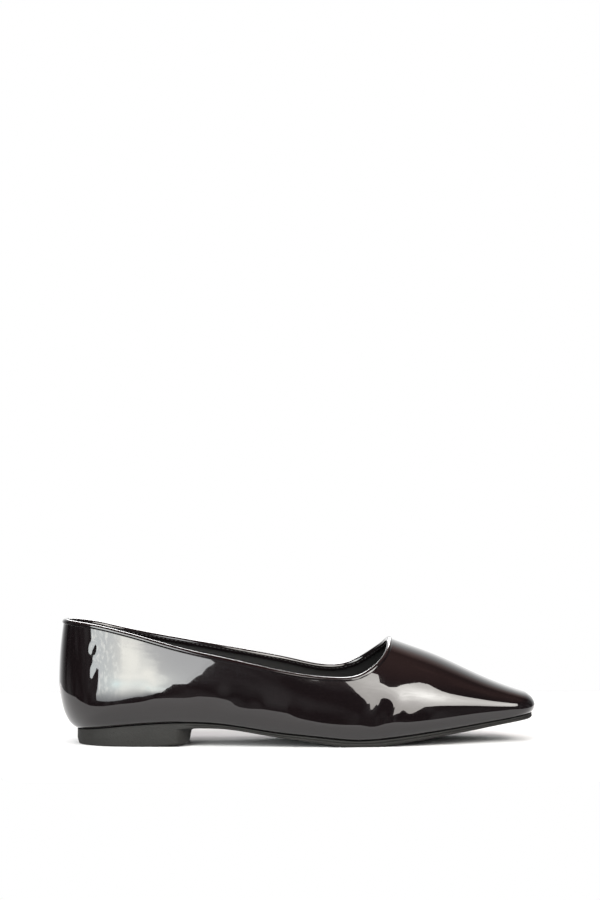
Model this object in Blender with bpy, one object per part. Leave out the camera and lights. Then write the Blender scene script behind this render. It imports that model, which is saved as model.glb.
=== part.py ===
"""Square toe ballet flat, a right shoe, in metres: +X to the toe, +Z up, the lateral side at -Y.

The last is a function of a station along the shoe and a level up its wall. It is worked out from a few
driving sizes and one table of sections, and every piece is cut from it: the upper is a wall on the last, open
at the collar and turned in under the foot, the binding runs along the collar's edge, the insole lies on the
turned-in margin, and the unit sole with its low moulded heel follows the feather line, where upper and sole
meet.
"""

import math

import bmesh
import bpy
import numpy as np
from mathutils import Vector

MM = 0.001

# Driving dimensions, over the outside of the shoe
LENGTH = 260 * MM
BALL_WIDTH = 84 * MM
INSTEP_HEIGHT = 56.4 * MM
HEEL_HEIGHT = 12.8 * MM
BACK_HEIGHT = 67.5 * MM

# Materials' thicknesses, and how far the insole's edge stays inside the feather line
UPPER_WALL = 1.4 * MM
LASTING_MARGIN = 3.5 * MM
INSOLE_THICKNESS = 2.6 * MM
INSOLE_TOP_IN = 0.1 * MM
INSOLE_EDGE_IN = 0.5 * MM
BINDING_STRIP = 0.45 * MM
BINDING_DEPTH = 3.0 * MM
BINDING_INNER_DEPTH = 2.2 * MM
BINDING_INNER_GAP = 0.5 * MM
SEAT_GAP = 0.3 * MM

# Last: one row for each section, from the heel's back to the toe's tip. The station is a percentage of
# LENGTH, the half widths of BALL_WIDTH, feather of HEEL_HEIGHT, and swell and ridge of INSTEP_HEIGHT. Feather
# is the height of the upper's lower edge, foot its half width, side the wall's widest half width, swell the
# height of that point above the feather, ridge the last's top line, shift the ridge's offset to the medial
# side, crown the exponent that makes the wall a leaning cone at 1 and a dome at 0.5, and edge the sole's
# thickness in millimetres.
LAST_COLUMNS = ("station", "feather", "lateral_foot", "medial_foot", "lateral_side", "medial_side",
                "swell", "ridge", "shift", "crown", "edge")
LAST_ROWS = (
    (0, 65, 24.4, 24.4, 32.4, 32.4, 46.0, 204, 0.0, 1.00, 3.2),
    (6, 74.5, 26.2, 26.2, 33.4, 33.4, 28.0, 202, 0.0, 1.00, 3.2),
    (13, 86, 28.3, 26.9, 35.7, 34.2, 23.0, 199, -0.2, 1.00, 3.2),
    (25, 102, 32.7, 24.7, 39.6, 31.6, 25.0, 191, -0.5, 1.00, 3.2),
    (35, 93, 35.6, 23.9, 41.6, 31.0, 20.6, 173, 1.0, 0.95, 2.1),
    (44, 65, 37.6, 28.1, 43.0, 35.2, 20.0, 151, 3.4, 0.85, 2.2),
    (54, 42, 38.5, 38.2, 43.6, 44.8, 14.4, 128, 6.5, 0.70, 3.0),
    (62, 28, 37.8, 47.5, 43.0, 53.4, 14.5, 114, 9.4, 0.58, 3.8),
    (69, 37, 36.0, 51.6, 41.0, 57.0, 13.3, 100, 10.5, 0.50, 3.5),
    (79, 62, 30.0, 48.8, 34.2, 53.4, 11.7, 83, 11.0, 0.48, 2.8),
    (88, 87, 21.4, 40.2, 24.6, 43.8, 10.6, 64, 10.1, 0.45, 2.5),
    (96, 111, 13.7, 31.9, 16.4, 34.8, 8.0, 49.5, 9.5, 0.42, 2.4),
    (100, 124, 10.6, 28.4, 13.0, 31.2, 6.8, 44, 9.2, 0.40, 3.0),
)

# Collar: the finished top line, with the station as a percentage of LENGTH and the heights of BACK_HEIGHT.
# The last row is the throat, where the collar meets the ridge.
COLLAR_COLUMNS = ("station", "lateral", "medial")
COLLAR_ROWS = (
    (0, 100, 100),
    (6, 97.4, 96.8),
    (13, 92.2, 91.2),
    (25, 79.6, 82.4),
    (37, 69.2, 74.2),
    (50, 58.6, 63.8),
    (57, 55.8, 58.8),
    (62, 57.4, 61.8),
    (65, 63.4, 68.2),
    (67.3, 71.0, 75.0),
    (68.6, 78.4, 80.0),
    (69.2, 82.8, 83.0),
)

# Heel of the last: where its rounding starts, the plan's squareness, and the back wall's lean and tuck
HEEL_ROUND = 34 * MM
HEEL_SQUARENESS = 2.2
BACK_LEAN = 0.46
BACK_TUCK = 10.8 * MM

# Toe of the last: the square plan's corners, the nose's rounding and the tuck under it
TOE_ROUND = 16 * MM
TOE_SQUARENESS = 3.2
NOSE_ROUND = 6 * MM
NOSE_SQUARENESS = 2.2
TOE_TUCK = 2.6 * MM

# How far the wall's lines lead ahead of the collar at the throat, so that they fan out round it
THROAT_LEAD = 20 * MM

# Sole: profile of its edge from the top down, with each point's distance outside the feather line and its
# share of the edge's thickness: a thin rib, a groove and a plain band with a rounded foot
SOLE_PROFILE = ((0.3 * MM, 0.0), (0.9 * MM, 0.08), (0.9 * MM, 0.3), (0.5 * MM, 0.38),
                (1.0 * MM, 0.48), (0.8 * MM, 0.76), (-1.2 * MM, 1.0))

# Moulded heel: distance from the heel's back to its breast, and its shape
HEEL_BREAST = 71 * MM
HEEL_BREAST_SLANT = 1.0 * MM
HEEL_CORNER = 7 * MM
HEEL_SIDE = 0.6 * MM
HEEL_TAPER = 0.6 * MM
HEEL_FOOT_ROUND = 0.7 * MM
HEEL_FLAT_TO = 44 * MM
HEEL_BREAST_LIFT = 1.9 * MM
HEEL_LIFT_CURVE = 1.5
HEEL_TOP_SINK = 1.2 * MM

# Rows and columns of the meshes
HEEL_ROWS = 8
SIDE_ROWS = 25
THROAT_CROWDING = 1.35
VAMP_ROWS = 10
TOE_ROWS = 8
TUCK_COLUMNS = 4
WALL_COLUMNS = 8
BINDING_ARC = 6
HEEL_CORNER_ROWS = 4
COLLAR_SAMPLES = 4000
WELD = 0.002 * MM
SHARP_EDGE = math.radians(40)

LATERAL, MEDIAL = -1, 1
QUARTER_TURN = math.pi / 2


def smooth_curve(places, values):
    """A natural cubic spline through a table's rows, as a function of arrays of places."""
    x = np.asarray(places, float)
    y = np.asarray(values, float)
    gap = np.diff(x)
    inner = np.diag(2 * (gap[:-1] + gap[1:])) + np.diag(gap[1:-1], 1) + np.diag(gap[1:-1], -1)
    bend = np.zeros(len(x))
    bend[1:-1] = np.linalg.solve(inner, 6 * np.diff(np.diff(y) / gap))

    def at(place):
        place = np.asarray(place, float)
        i = np.clip(np.searchsorted(x, place) - 1, 0, len(gap) - 1)
        ahead = (place - x[i]) / gap[i]
        behind = 1 - ahead
        sag = ((behind**3 - behind) * bend[i] + (ahead**3 - ahead) * bend[i + 1]) * gap[i] ** 2 / 6
        return behind * y[i] + ahead * y[i + 1] + sag

    return at


def table_curves(columns, rows, scales):
    """Each column of a table as a smooth curve over the stations, in real sizes."""
    table = dict(zip(columns, np.array(rows, float).T))
    stations = table.pop("station") * LENGTH / 100
    return {name: smooth_curve(stations, values * scales[name]) for name, values in table.items()}


WIDTH_SHARE = BALL_WIDTH / 100
INSTEP_SHARE = INSTEP_HEIGHT / 100
LAST = table_curves(LAST_COLUMNS, LAST_ROWS, {
    "feather": HEEL_HEIGHT / 100, "lateral_foot": WIDTH_SHARE, "medial_foot": WIDTH_SHARE,
    "lateral_side": WIDTH_SHARE, "medial_side": WIDTH_SHARE, "swell": INSTEP_SHARE, "ridge": INSTEP_SHARE,
    "shift": WIDTH_SHARE, "crown": 1, "edge": MM,
})


def half_widths(station, side):
    """The signed half widths of the foot and of the widest point, on one side."""
    name = "lateral" if side == LATERAL else "medial"
    return side * LAST[name + "_foot"](station), side * LAST[name + "_side"](station)


def ridge_height(station):
    """The last's top line, rounded down into the nose at the toe's tip."""
    nose = LAST["feather"](LENGTH) + LAST["swell"](LENGTH)
    into_nose = np.clip((station - (LENGTH - NOSE_ROUND)) / NOSE_ROUND, 0, 1)
    round_off = (1 - into_nose**NOSE_SQUARENESS) ** (1 / NOSE_SQUARENESS)
    return nose + (LAST["ridge"](station) - nose) * round_off


def last_surface(station, level, side):
    """Points of the last: level -1 is the feather line, 0 the widest point of the wall and 1 the ridge."""
    station = np.asarray(station, float)
    level = np.asarray(level, float)
    tuck = np.sin(QUARTER_TURN * (1 + np.minimum(level, 0)))
    drop = np.cos(QUARTER_TURN * (1 + np.minimum(level, 0)))
    climb = np.sin(QUARTER_TURN * np.maximum(level, 0))
    keep = np.cos(QUARTER_TURN * np.maximum(level, 0)) ** (2 * LAST["crown"](station))

    to_back = np.clip(1 - station / HEEL_ROUND, 0, 1)
    to_tip = np.clip((station - (LENGTH - TOE_ROUND)) / TOE_ROUND, 0, 1)
    narrow = (1 - to_back**HEEL_SQUARENESS) ** (1 / HEEL_SQUARENESS)
    narrow = narrow * (1 - to_tip**TOE_SQUARENESS) ** (1 / TOE_SQUARENESS)

    foot, widest = half_widths(station, side)
    shift = LAST["shift"](station)
    y = shift + (foot + (widest - foot) * tuck - shift) * keep * narrow

    feather = LAST["feather"](station)
    middle = feather + LAST["swell"](station)
    z = middle - LAST["swell"](station) * drop + (ridge_height(station) - middle) * climb

    back_reach = BACK_TUCK * (1 - tuck) + BACK_LEAN * HEEL_ROUND * (1 - keep)
    x = station + back_reach * to_back - TOE_TUCK * (1 - tuck) * to_tip
    return np.stack(np.broadcast_arrays(x, y, z), axis=-1)


def collar_curve(side):
    """The upper's cut edge on one side as stations and heights, dense, under the binding's fold."""
    table = dict(zip(COLLAR_COLUMNS, np.array(COLLAR_ROWS, float).T))
    station = table["station"] * LENGTH / 100
    height = table["lateral" if side == LATERAL else "medial"] * BACK_HEIGHT / 100 - BINDING_RISE
    height[-1] = ridge_height(station[-1])
    run = np.concatenate([[0], np.cumsum(np.hypot(np.diff(station), np.diff(height)))])
    dense = np.linspace(0, run[-1], COLLAR_SAMPLES)
    return smooth_curve(run, station)(dense), smooth_curve(run, height)(dense)


def collar_level(station, side):
    """The level at which the collar crosses the wall at a station."""
    height = np.interp(station, *collar_curve(side))
    middle = LAST["feather"](station) + LAST["swell"](station)
    climb = (height - middle) / (ridge_height(station) - middle)
    return np.arcsin(np.clip(climb, 0, 1)) / QUARTER_TURN


def top_stations():
    """The stations of the wall's lines at their tops: heel fan, collar to the throat, then the ridge."""
    fan = np.linspace(0, QUARTER_TURN, HEEL_ROWS, endpoint=False)
    heel = HEEL_ROUND * (1 - np.cos(fan) ** (2 / HEEL_SQUARENESS))
    station = collar_curve(LATERAL)[0]
    station = station[station > HEEL_ROUND]
    collar = last_surface(station, collar_level(station, LATERAL), LATERAL)
    run = np.concatenate([[0], np.cumsum(np.linalg.norm(np.diff(collar, axis=0), axis=1))])
    side = np.interp(run[-1] * SIDE_SHARES, run, station)
    toe_start = LENGTH - TOE_ROUND
    vamp = np.linspace(side[-1], toe_start, VAMP_ROWS + 1)[1:]
    turn = np.linspace(0, QUARTER_TURN, TOE_ROWS + 1)[1:]
    toe = toe_start + TOE_ROUND * np.sin(turn) ** (2 / TOE_SQUARENESS)
    return np.concatenate([heel, side, vamp, toe])


def foot_stations():
    """The same lines' stations at the feather line, which lead the tops round the throat."""
    foot = TOP.copy()
    throat = TOP[COLLAR_ROW_COUNT - 1] + THROAT_LEAD
    toe_start = LENGTH - TOE_ROUND
    foot[HEEL_ROWS:COLLAR_ROW_COUNT] = HEEL_ROUND + (throat - HEEL_ROUND) * SIDE_SHARES
    foot[COLLAR_ROW_COUNT:-TOE_ROWS] = np.linspace(throat, toe_start, VAMP_ROWS + 1)[1:]
    return foot


BINDING_RISE = SEAT_GAP + BINDING_STRIP
COLLAR_ROW_COUNT = HEEL_ROWS + SIDE_ROWS
SIDE_SHARES = 1 - np.linspace(1, 0, SIDE_ROWS) ** THROAT_CROWDING
TOP = top_stations()
FOOT = foot_stations()


def feather_line(outset=0.0):
    """The feather line's rows as two lists of plan points, lateral and medial, moved out by a distance."""
    sides = {side: last_surface(FOOT, -1, side)[:, :2] for side in (LATERAL, MEDIAL)}
    loop = np.concatenate([sides[LATERAL], sides[MEDIAL][-2:0:-1]])
    along = np.roll(loop, -1, axis=0) - np.roll(loop, 1, axis=0)
    along /= np.linalg.norm(along, axis=1, keepdims=True)
    outward = np.stack([along[:, 1], -along[:, 0]], axis=1)
    moved = loop + outward * outset
    count = len(FOOT)
    medial = np.concatenate([moved[:1], moved[count:][::-1], moved[count - 1:count]])
    return moved[:count], medial


def along_feather(column, x):
    """A column of the last's table at places along the feather line, by their real x."""
    return np.interp(x, last_surface(FOOT, -1, LATERAL)[:, 0], LAST[column](FOOT))


def rings_round_foot(profile):
    """One closed ring for each row, from pairs of a distance outside the feather line and a height over x."""
    lateral, medial = [], []
    for outset, height in profile:
        for points, plan in zip((lateral, medial), feather_line(outset)):
            points.append(np.column_stack([plan, height(plan[:, 0])]))
    return np.concatenate([lateral, medial[::-1]]).transpose(1, 0, 2)


def shaded(name, colour, roughness, coat=0.0):
    """A plain finish for one piece."""
    material = bpy.data.materials.new(name)
    material.use_nodes = True
    shader = material.node_tree.nodes["Principled BSDF"]
    shader.inputs["Base Color"].default_value = (*colour, 1)
    shader.inputs["Roughness"].default_value = roughness
    shader.inputs["Metallic"].default_value = 0.0
    shader.inputs["Coat Weight"].default_value = coat
    return material


def add_piece(name, bm, material):
    """A named object of the shoe from a finished bmesh, shaded smooth."""
    mesh = bpy.data.meshes.new(name)
    bm.to_mesh(mesh)
    bm.free()
    mesh.shade_smooth()
    mesh.set_sharp_from_angle(angle=SHARP_EDGE)
    mesh.materials.append(material)
    piece = bpy.data.objects.new(name, mesh)
    bpy.context.scene.collection.objects.link(piece)
    return piece


def loft(rings):
    """A closed bmesh through closed rings of points. End rings that don't fold flat are capped."""
    bm = bmesh.new()
    loops = [[bm.verts.new(point) for point in ring] for ring in rings]
    for near, far in zip(loops, loops[1:]):
        for i in range(len(near)):
            j = (i + 1) % len(near)
            bm.faces.new((near[i], near[j], far[j], far[i]))
    bmesh.ops.remove_doubles(bm, verts=bm.verts, dist=WELD)
    bmesh.ops.holes_fill(bm, edges=[edge for edge in bm.edges if edge.is_boundary])
    bmesh.ops.recalc_face_normals(bm, faces=bm.faces)
    return bm


def wall_grid(side):
    """One side's wall as rows of points: the turned-in margin, the tuck, then the wall to collar or ridge."""
    margin = feather_line(-LASTING_MARGIN)[0 if side == LATERAL else 1]
    top_level = np.ones(len(TOP))
    top_level[:COLLAR_ROW_COUNT - 1] = collar_level(TOP[:COLLAR_ROW_COUNT - 1], side)
    low = np.linspace(-1, 0, TUCK_COLUMNS, endpoint=False)
    up = np.linspace(0, 1, WALL_COLUMNS + 1)
    station = np.concatenate([np.tile(FOOT, (TUCK_COLUMNS, 1)), FOOT + (TOP - FOOT) * up[:, None] ** 2])
    level = np.concatenate([np.tile(low[:, None], len(TOP)), top_level * up[:, None]])
    wall = last_surface(station, level, side)
    turned_in = np.column_stack([margin, along_feather("feather", margin[:, 0])])
    return np.concatenate([turned_in[None], wall]).transpose(1, 0, 2)


def outer_skin():
    """The upper's outer surface as an open bmesh, and its collar as an ordered loop of vertices."""
    bm = bmesh.new()
    grids = {}
    for side in (LATERAL, MEDIAL):
        grid = [[bm.verts.new(point) for point in row] for row in wall_grid(side)]
        for row, ahead in zip(grid, grid[1:]):
            for j in range(len(row) - 1):
                corners = (row[j], ahead[j], ahead[j + 1], row[j + 1])
                bm.faces.new(corners if side == LATERAL else corners[::-1])
        grids[side] = grid
    lateral = [row[-1] for row in grids[LATERAL][:COLLAR_ROW_COUNT]]
    medial = [row[-1] for row in grids[MEDIAL][1:COLLAR_ROW_COUNT - 1]]
    welds = bmesh.ops.find_doubles(bm, verts=bm.verts, keep_verts=lateral, dist=WELD)
    bmesh.ops.weld_verts(bm, targetmap=welds["targetmap"])
    bm.normal_update()
    return bm, lateral + medial[::-1]


def make_upper(material):
    """The upper: one wall on the last, open at the collar and under the foot, with its collar's frames."""
    bm, collar = outer_skin()
    frames = collar_frames(collar)
    upper = add_piece("upper", bm, material)
    wall = upper.modifiers.new("wall", "SOLIDIFY")
    wall.thickness = UPPER_WALL
    wall.offset = -1
    wall.use_even_offset = True
    return upper, frames


def collar_frames(collar):
    """For each collar vertex: its place, the outward normal, and the way up out of the wall."""
    frames = []
    for i, vert in enumerate(collar):
        along = collar[(i + 1) % len(collar)].co - collar[i - 1].co
        up = along.cross(vert.normal).normalized()
        wall_below = min((edge.other_vert(vert).co for edge in vert.link_edges if not edge.is_boundary),
                         key=lambda co: abs((co - vert.co).normalized().dot(along.normalized())))
        if up.dot(vert.co - wall_below) < 0:
            up.negate()
        frames.append((vert.co.copy(), vert.normal.copy(), up))
    return frames


def binding_profile():
    """The folded strip's closed outline as (outwards from the wall's outer face, up from its cut edge)."""
    outer = SEAT_GAP + BINDING_STRIP
    inner = -UPPER_WALL - BINDING_INNER_GAP - BINDING_STRIP
    middle = (outer + inner) / 2
    turns = [math.pi * i / BINDING_ARC for i in range(BINDING_ARC + 1)]

    def fold(radius):
        return [(middle + radius * math.cos(turn), BINDING_RISE * radius / (outer - middle) * math.sin(turn))
                for turn in turns]

    outside = fold(outer - middle)
    inside = fold(outer - middle - BINDING_STRIP)
    inside = [(across, SEAT_GAP if SEAT_GAP < up else up) for across, up in inside]
    return [(outer, -BINDING_DEPTH), *outside, (inner, -BINDING_INNER_DEPTH),
            (inner + BINDING_STRIP, -BINDING_INNER_DEPTH), *inside[::-1],
            (outer - BINDING_STRIP, -BINDING_DEPTH)]


def make_binding(frames, material):
    """The binding: a strip folded over the collar's cut edge, all the way round."""
    profile = binding_profile()
    rings = []
    for place, normal, up in frames:
        rings.append([place + normal * across + up * rise for across, rise in profile])
    bm = loft([*rings, rings[0]])
    return add_piece("topline_binding", bm, material)


def sole_top(x):
    return along_feather("feather", x) - SEAT_GAP


def sole_bottom(x):
    """The sole's underside, with a flat tread where it would pass through the floor."""
    return np.maximum(sole_top(x) - along_feather("edge", x), 0)


def sole_side(share):
    """The height over x of a line along the sole's edge, at a share of the way down it."""
    return lambda x: sole_top(x) * (1 - share) + sole_bottom(x) * share


def make_outsole(material):
    """The unit sole: a plate along the feather line, joined with the moulded heel."""
    rings = rings_round_foot([(outset, sole_side(share)) for outset, share in SOLE_PROFILE])
    sole = add_piece("outsole", loft(rings), material)
    join = sole.modifiers.new("moulded_heel", "BOOLEAN")
    join.operation = "UNION"
    join.object = make_heel_block(material)
    return sole


def make_heel_block(material):
    """The heel's block, which the sole takes in: tapered, with rounded breast corners and a lifted front."""
    corner_start = HEEL_BREAST - HEEL_CORNER
    turn = np.linspace(0, QUARTER_TURN, HEEL_CORNER_ROWS)
    stations = np.concatenate([FOOT[FOOT < corner_start - MM], corner_start + HEEL_CORNER * np.sin(turn)])
    to_breast = np.clip((stations - corner_start) / HEEL_CORNER, 0, 1)
    corner = HEEL_CORNER * (1 - np.sqrt(1 - to_breast**2))
    slant = HEEL_BREAST_SLANT * to_breast
    past_flat = np.clip((stations - HEEL_FLAT_TO) / (HEEL_BREAST - HEEL_FLAT_TO), 0, 1)
    lift = HEEL_BREAST_LIFT * past_flat**HEEL_LIFT_CURVE
    foot = HEEL_SIDE - HEEL_TAPER
    top = LAST["feather"](stations) - SEAT_GAP - HEEL_TOP_SINK
    levels = ((HEEL_SIDE, slant, top), (foot, 0, lift + HEEL_FOOT_ROUND), (foot - HEEL_FOOT_ROUND, 0, lift))
    lateral, medial = [], []
    for outset, lean, height in levels:
        for side, points, plan in zip((LATERAL, MEDIAL), (lateral, medial), feather_line(outset)):
            x = np.interp(stations, FOOT, plan[:, 0]) + lean
            y = np.interp(stations, FOOT, plan[:, 1]) - side * corner
            points.append(np.column_stack([x, y, height]))
    rings = np.concatenate([lateral, medial[::-1]]).transpose(1, 0, 2)
    heel = add_piece("heel_block", loft(rings), material)
    heel.hide_render = True
    heel.display_type = "WIRE"
    return heel


def make_insole(material):
    """The insole: it lies on the turned-in margin, and its middle fills the space inside the margin."""
    def seat(x):
        return along_feather("feather", x) + UPPER_WALL + SEAT_GAP

    def top(x):
        return seat(x) + INSOLE_THICKNESS

    def filler(x):
        return along_feather("feather", x) + SEAT_GAP

    inside_margin = -LASTING_MARGIN - INSOLE_EDGE_IN
    rings = rings_round_foot([(-INSOLE_TOP_IN, top), (-INSOLE_EDGE_IN, seat), (inside_margin, seat),
                              (inside_margin - SEAT_GAP, filler)])
    return add_piece("insole", loft(rings), material)


def main():
    for old in list(bpy.data.objects):
        bpy.data.objects.remove(old)
    patent = shaded("black_patent", (0.008, 0.006, 0.007), 0.12, coat=1.0)
    trim = shaded("black_patent_binding", (0.008, 0.006, 0.007), 0.15, coat=1.0)
    sock = shaded("black_sock", (0.012, 0.011, 0.011), 0.6)
    rubber = shaded("black_rubber", (0.03, 0.03, 0.028), 0.65)

    upper, frames = make_upper(patent)
    pieces = [upper, make_binding(frames, trim), make_insole(sock), make_outsole(rubber)]
    pieces.append(bpy.data.objects["heel_block"])

    outline = {side: last_surface(FOOT, 0, side)[:, 1] for side in (LATERAL, MEDIAL)}
    shoe = bpy.data.objects.new("shoe", None)
    shoe.location = Vector((-LENGTH / 2, -(outline[LATERAL].min() + outline[MEDIAL].max()) / 2, 0))
    bpy.context.scene.collection.objects.link(shoe)
    for piece in pieces:
        piece.parent = shoe


main()
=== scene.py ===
"""The looks of a square toe ballet flat, a right shoe: black patent upper, bound collar, sock and unit sole.

Every piece follows the same last as the solids: a surface over a station along the shoe and a level up its
wall. Sizes are in metres, with +X to the toe, +Z up and the lateral side at -Y.
"""

import math

import bmesh
import bpy
import numpy as np
from mathutils import Matrix, Vector, noise


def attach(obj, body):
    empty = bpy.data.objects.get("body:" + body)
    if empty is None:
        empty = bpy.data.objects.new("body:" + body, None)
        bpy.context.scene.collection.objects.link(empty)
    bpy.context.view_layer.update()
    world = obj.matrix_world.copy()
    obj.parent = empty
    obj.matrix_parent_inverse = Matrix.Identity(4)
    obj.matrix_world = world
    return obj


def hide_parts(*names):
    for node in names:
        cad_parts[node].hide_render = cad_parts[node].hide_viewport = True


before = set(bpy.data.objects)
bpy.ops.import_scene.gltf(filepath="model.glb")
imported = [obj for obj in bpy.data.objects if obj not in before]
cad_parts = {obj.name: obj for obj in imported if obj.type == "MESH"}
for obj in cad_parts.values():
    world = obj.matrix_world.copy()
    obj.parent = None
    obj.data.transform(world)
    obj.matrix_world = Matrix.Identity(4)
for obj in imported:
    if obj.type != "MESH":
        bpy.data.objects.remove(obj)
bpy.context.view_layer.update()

MM = 0.001
LATERAL, MEDIAL = -1, 1
QUARTER_TURN = math.pi / 2
UPWARD = (0, 0, 1)
TO_BACKDROP = (0, 1, 0)

# Driving dimensions, over the outside of the shoe
LENGTH = 260 * MM
BALL_WIDTH = 84 * MM
INSTEP_HEIGHT = 56.4 * MM
HEEL_HEIGHT = 12.8 * MM
BACK_HEIGHT = 67.5 * MM

# Materials' thicknesses
UPPER_WALL = 1.4 * MM
LASTING_MARGIN = 3.5 * MM
INSOLE_THICKNESS = 2.6 * MM
BINDING_STRIP = 0.45 * MM
BINDING_DEPTH = 1.9 * MM
BINDING_INNER_DEPTH = 2.2 * MM
BINDING_INNER_GAP = 0.5 * MM
SEAT_GAP = 0.3 * MM
BINDING_RISE = SEAT_GAP + BINDING_STRIP

# Last: one row for each section, from the heel's back to the toe's tip. The station is a percentage of
# LENGTH, the half widths of BALL_WIDTH, feather of HEEL_HEIGHT, and swell and ridge of INSTEP_HEIGHT. Feather
# is the height of the upper's lower edge, foot its half width, side the wall's widest half width, swell the
# height of that point above the feather, ridge the last's top line, shift the ridge's offset to the medial
# side, crown the exponent that makes the wall a leaning cone at 1 and a dome at 0.5, and edge the sole's
# thickness in millimetres.
LAST_COLUMNS = ("station", "feather", "lateral_foot", "medial_foot", "lateral_side", "medial_side",
                "swell", "ridge", "shift", "crown", "edge")
LAST_ROWS = (
    (0, 65, 24.4, 24.4, 32.4, 32.4, 46.0, 204, 0.0, 1.00, 3.2),
    (6, 74.5, 26.2, 26.2, 33.4, 33.4, 28.0, 202, 0.0, 1.00, 3.2),
    (13, 86, 28.3, 26.9, 35.7, 34.2, 23.0, 199, -0.2, 1.00, 3.2),
    (25, 102, 32.7, 24.7, 39.6, 31.6, 25.0, 191, -0.5, 1.00, 3.2),
    (35, 93, 35.6, 23.9, 41.6, 31.0, 20.6, 173, 1.0, 0.95, 2.1),
    (44, 65, 37.6, 28.1, 43.0, 35.2, 20.0, 151, 3.4, 0.85, 2.2),
    (54, 42, 38.5, 38.2, 43.6, 44.8, 14.4, 128, 6.5, 0.70, 3.0),
    (62, 28, 37.8, 47.5, 43.0, 53.4, 14.5, 114, 9.4, 0.58, 3.8),
    (69, 37, 36.0, 51.6, 41.0, 57.0, 13.3, 100, 10.5, 0.50, 3.5),
    (79, 62, 30.0, 48.8, 34.2, 53.4, 11.7, 83, 11.0, 0.48, 2.8),
    (88, 87, 21.4, 40.2, 24.6, 43.8, 10.6, 64, 10.1, 0.45, 2.5),
    (96, 111, 13.7, 31.9, 16.4, 34.8, 8.0, 49.5, 9.5, 0.42, 2.4),
    (100, 124, 10.6, 28.4, 13.0, 31.2, 6.8, 44, 9.2, 0.40, 3.0),
)

# Collar: the finished top line, with the station as a percentage of LENGTH and the heights of BACK_HEIGHT.
# The last row is the throat, where the collar meets the ridge.
COLLAR_COLUMNS = ("station", "lateral", "medial")
COLLAR_ROWS = (
    (0, 100, 100),
    (6, 97.4, 96.8),
    (13, 92.2, 91.2),
    (25, 79.6, 82.4),
    (37, 69.2, 74.2),
    (50, 58.6, 63.8),
    (57, 55.8, 58.8),
    (62, 57.4, 61.8),
    (65, 63.4, 68.2),
    (67.3, 71.0, 75.0),
    (68.6, 78.4, 80.0),
    (69.2, 82.8, 83.0),
)

# Heel of the last: where its rounding starts, the plan's squareness, and the back wall's lean and tuck
HEEL_ROUND = 34 * MM
HEEL_SQUARENESS = 2.2
BACK_LEAN = 0.46
BACK_TUCK = 10.8 * MM

# Toe of the last: the square plan's corners, the nose's rounding and the tuck under it
TOE_ROUND = 16 * MM
TOE_SQUARENESS = 3.2
NOSE_ROUND = 6 * MM
NOSE_SQUARENESS = 2.2
TOE_TUCK = 2.6 * MM

# How far the wall's lines lead ahead of the collar at the throat, so that they fan out round it
THROAT_LEAD = 20 * MM
THROAT_CROWDING = 1.35

# Rows and columns of the upper's sheet, the points of the collar's curve, how close vertices are welded, and
# the height above which the sheet's open edge is the collar
HEEL_ROWS = 44
SIDE_ROWS = 150
VAMP_ROWS = 60
TOE_ROWS = 26
MARGIN_COLUMNS = 3
TUCK_COLUMNS = 14
WALL_COLUMNS = 40
COLLAR_SAMPLES = 4000
WELD = 0.004 * MM
COLLAR_ABOVE = 25 * MM

# Creases of the upper, as soft troughs and ridges: the side, then the two ends as stations in percent of
# LENGTH and heights in percent of BACK_HEIGHT, then half width and depth in millimetres, sunk where negative.
# They fade out over a distance before the shoe's middle line.
CREASE_COLUMNS = ("side", "start", "start_height", "end", "end_height", "half_width", "depth")
CREASE_ROWS = (
    (LATERAL, 66.1, 35, 64.8, 21, 4.5, -0.28),
    (LATERAL, 70.0, 35, 68.6, 21, 4.5, 0.28),
    (LATERAL, 7.9, 62, 7.1, 47, 2.2, -0.18),
    (LATERAL, 7.5, 79.5, 7.2, 75.5, 1.8, -0.17),
    (LATERAL, 20.5, 43.5, 32.5, 43.5, 5.5, 0.24),
    (LATERAL, 29.5, 32.0, 35.0, 31.0, 5.0, -0.42),
    (LATERAL, 42.5, 33.5, 47.0, 32, 5.0, 0.25),
)
CREASE_FADE = 10 * MM

# Ripples that the lasting leaves in the patent: how far apart they are and how high, in millimetres
RIPPLE_COLUMNS = ("apart", "height")
RIPPLE_ROWS = (
    (16.0, 0.026),
    (6.0, 0.006),
)

# Binding: points round its fold and its lower edges, the edges' rounding, how far the outer one is pared
# away, the height of the fold's arch, and the stitches that hold it
FOLD_POINTS = 24
LIP_POINTS = 5
LIP_ROUND = 0.1 * MM
LIP_SKIVE = 0.45 * MM
FOLD_RISE = 1.9 * MM
STITCH_PITCH = 2.4 * MM
STITCH_LENGTH = 1.7 * MM
STITCH_BELOW_EDGE = 0.9 * MM
THREAD = 0.3 * MM
THREAD_SIDES = 8
THREAD_RINGS = 6

# Sole: profile of its edge from the top down, with each point's distance outside the feather line in
# millimetres and its share of the edge's thickness, then the plain edge that it becomes round the heel, the
# length over which it changes, the points across, and the angle from which an edge is sharp
SOLE_EDGE = (
    (0.3, 0.0), (0.75, 0.02), (0.9, 0.08), (0.92, 0.2), (0.86, 0.3), (0.5, 0.36), (0.5, 0.42),
    (0.95, 0.48), (1.0, 0.56), (0.9, 0.74), (0.55, 0.88), (-0.1, 0.97), (-1.2, 1.0),
)
HEEL_EDGE = 0.75 * MM
EDGE_CHANGE = 8 * MM
SOLE_ACROSS = 16
SHARP_EDGE = math.radians(50)

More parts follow.
